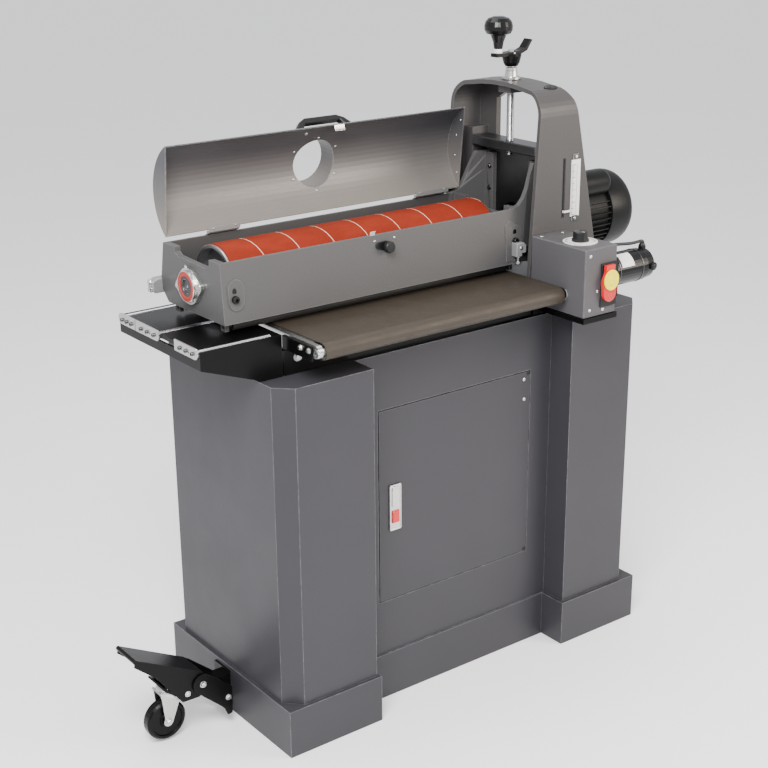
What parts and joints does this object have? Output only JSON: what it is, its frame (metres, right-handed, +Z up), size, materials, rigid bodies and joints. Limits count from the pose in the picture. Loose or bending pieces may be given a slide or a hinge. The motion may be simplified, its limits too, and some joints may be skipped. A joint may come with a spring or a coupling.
{
  "type": "open-ended drum sander",
  "caption": "Drum sander on a sheet-metal cabinet stand, with conveyor table, crank-raised drum head under an arch, open hinged cover and pedal caster.",
  "frame": {"origin": "centre of the bounding box at floor level", "axes": "+X along the drum towards the motor, +Y from the operator side to the rear, +Z up"},
  "size_m": [1.2814, 0.5756, 1.3455],
  "materials": {
    "stand_paint": "satin",
    "black_paint": "satin",
    "cast_aluminium": "satin",
    "drum_metal": "satin",
    "zinc": "satin",
    "steel": "satin",
    "belt": "matte",
    "abrasive": "matte",
    "black_plastic": "gloss",
    "motor_grey": "satin",
    "white_plastic": "satin",
    "red_plastic": "satin",
    "yellow_plastic": "satin",
    "rubber": "matte"
  },
  "bodies": {
    "stand": {"left_column": "stand_paint", "right_column": "stand_paint", "left_plinth": "stand_paint", "right_plinth": "stand_paint", "front_panel": "stand_paint", "rear_panel": "stand_paint", "cabinet_floor": "stand_paint", "lift_bracket": "black_paint", "wheel_bracket": "black_paint", "base_frame": "black_paint", "outboard_table": "black_paint", "roller_bracket_rear": "zinc", "roller_bracket_middle": "zinc", "roller_bracket_front": "zinc", "conveyor_bed": "steel", "conveyor_belt": "belt", "left_rail": "zinc", "right_rail": "black_paint", "gear_motor": "black_paint", "motor_lead": "rubber", "control_box": "stand_paint", "control_bracket": "black_paint", "speed_dial": "white_plastic", "switch_plate": "black_plastic", "arch_frame": "stand_paint", "height_scale": "white_plastic", "screw_collar": "zinc"},
    "door": {"cabinet_door": "stand_paint", "door_latch": "zinc"},
    "latch_push": {"latch_button": "red_plastic"},
    "lever": {"lift_pedal": "black_paint"},
    "caster": {"caster_fork": "zinc"},
    "wheel": {"caster_wheel": "rubber"},
    "fixed_front": {"fixed_wheel_front": "rubber"},
    "fixed_rear": {"fixed_wheel_rear": "rubber"},
    "table_roller_rear": {"outboard_roller_rear": "steel"},
    "table_roller_middle": {"outboard_roller_middle": "steel"},
    "table_roller_front": {"outboard_roller_front": "steel"},
    "drive": {"drive_roller": "steel"},
    "idler": {"idler_roller": "steel"},
    "speed": {"speed_knob": "black_plastic"},
    "paddle": {"switch_paddle": "red_plastic"},
    "key": {"safety_key": "yellow_plastic"},
    "head": {"head_trough": "cast_aluminium", "carriage": "black_paint", "depth_pointer": "white_plastic", "drum_bearing": "zinc", "main_motor": "motor_grey", "capacitor_box": "motor_grey"},
    "crank": {"height_screw": "steel", "crank_arm": "black_paint"},
    "crank_grip": {"crank_knob": "black_plastic"},
    "sanding_drum": {"drum": "drum_metal", "abrasive_wrap": "abrasive"},
    "hold_down_front": {"pressure_roller_front": "steel"},
    "hold_down_rear": {"pressure_roller_rear": "steel"},
    "cover": {"cover_shell": "cast_aluminium", "dust_port": "zinc", "cover_handle": "black_plastic"},
    "lock": {"lock_knob": "black_plastic"}
  },
  "joints": [
    {"name": "door_hinge", "type": "hinge", "parent": "stand", "child": "door", "pos_m": [0.26175, -0.12875, 0.2225], "axis": [0, 0, 1], "range_deg": [0, 110]},
    {"name": "latch_press", "type": "slide", "parent": "door", "child": "latch_push", "axis": [0, 1, 0], "range_m": [0, 0.003], "stiffness_N_per_m": 500},
    {"name": "lift_lever", "type": "hinge", "parent": "stand", "child": "lever", "pos_m": [-0.49705, 0.01525, 0.1172], "axis": [0, -1, 0], "range_deg": [0, 35]},
    {"name": "caster_swivel", "type": "hinge", "parent": "lever", "child": "caster", "pos_m": [-0.55195, 0.01525, 0.1084], "axis": [0.5736, 0, 0.8192], "continuous": true},
    {"name": "caster_roll", "type": "hinge", "parent": "caster", "child": "wheel", "pos_m": [-0.56474, 0.01525, 0.04655], "axis": [0, 1, 0], "continuous": true},
    {"name": "fixed_front_roll", "type": "hinge", "parent": "stand", "child": "fixed_front", "pos_m": [0.55325, -0.12075, 0.0315], "axis": [1, 0, 0], "continuous": true},
    {"name": "fixed_rear_roll", "type": "hinge", "parent": "stand", "child": "fixed_rear", "pos_m": [0.55325, 0.17925, 0.0315], "axis": [1, 0, 0], "continuous": true},
    {"name": "table_roller_rear_spin", "type": "hinge", "parent": "stand", "child": "table_roller_rear", "pos_m": [-0.43575, 0.16725, 0.829], "axis": [1, 0, 0], "continuous": true},
    {"name": "table_roller_middle_spin", "type": "hinge", "parent": "stand", "child": "table_roller_middle", "pos_m": [-0.43575, 0.03125, 0.829], "axis": [1, 0, 0], "continuous": true},
    {"name": "table_roller_front_spin", "type": "hinge", "parent": "stand", "child": "table_roller_front", "pos_m": [-0.43575, -0.10775, 0.829], "axis": [1, 0, 0], "continuous": true},
    {"name": "drive_spin", "type": "hinge", "parent": "stand", "child": "drive", "pos_m": [0.06425, -0.21275, 0.82], "axis": [1, 0, 0], "continuous": true},
    {"name": "idler_spin", "type": "hinge", "parent": "stand", "child": "idler", "pos_m": [0.06425, 0.27125, 0.82], "axis": [1, 0, 0], "continuous": true},
    {"name": "speed_turn", "type": "hinge", "parent": "stand", "child": "speed", "pos_m": [0.31425, -0.20775, 0.9226], "axis": [0, 0, 1], "range_deg": [0, 280]},
    {"name": "paddle_swing", "type": "hinge", "parent": "stand", "child": "paddle", "pos_m": [0.335, -0.27325, 0.883], "axis": [-1, 0, 0], "range_deg": [0, 40]},
    {"name": "key_pull", "type": "slide", "parent": "paddle", "child": "key", "axis": [0, -1, 0], "range_m": [0, 0.02]},
    {"name": "head_height", "type": "slide", "parent": "stand", "child": "head", "axis": [0, 0, 1], "range_m": [0, 0.098]},
    {"name": "crank_turn", "type": "hinge", "parent": "stand", "child": "crank", "pos_m": [0.33225, 0.02925, 1.216], "axis": [0, 0, -1], "range_deg": [0, 22243.6]},
    {"name": "crank_grip_spin", "type": "hinge", "parent": "crank", "child": "crank_grip", "pos_m": [0.29525, 0.02925, 1.301], "axis": [0, 0, 1], "continuous": true},
    {"name": "drum_spin", "type": "hinge", "parent": "head", "child": "sanding_drum", "pos_m": [0.06425, 0.02925, 0.91], "axis": [1, 0, 0], "continuous": true},
    {"name": "hold_down_front_spin", "type": "hinge", "parent": "head", "child": "hold_down_front", "pos_m": [0.06425, -0.05475, 0.8475], "axis": [1, 0, 0], "continuous": true},
    {"name": "hold_down_rear_spin", "type": "hinge", "parent": "head", "child": "hold_down_rear", "pos_m": [0.06425, 0.10925, 0.8475], "axis": [1, 0, 0], "continuous": true},
    {"name": "cover_hinge", "type": "hinge", "parent": "head", "child": "cover", "pos_m": [0.06425, 0.12325, 0.978], "axis": [1, 0, 0], "range_deg": [0, 84.3]},
    {"name": "lock_turn", "type": "hinge", "parent": "head", "child": "lock", "pos_m": [-0.07575, -0.08025, 0.947], "axis": [0, 1, 0], "range_deg": [0, 180]}
  ],
  "couplings": [
    {"joint": "crank_turn", "follows": "head_height", "rad_per_m": 3957.9},
    {"joint": "idler_spin", "follows": "drive_spin", "ratio": 1}
  ]
}
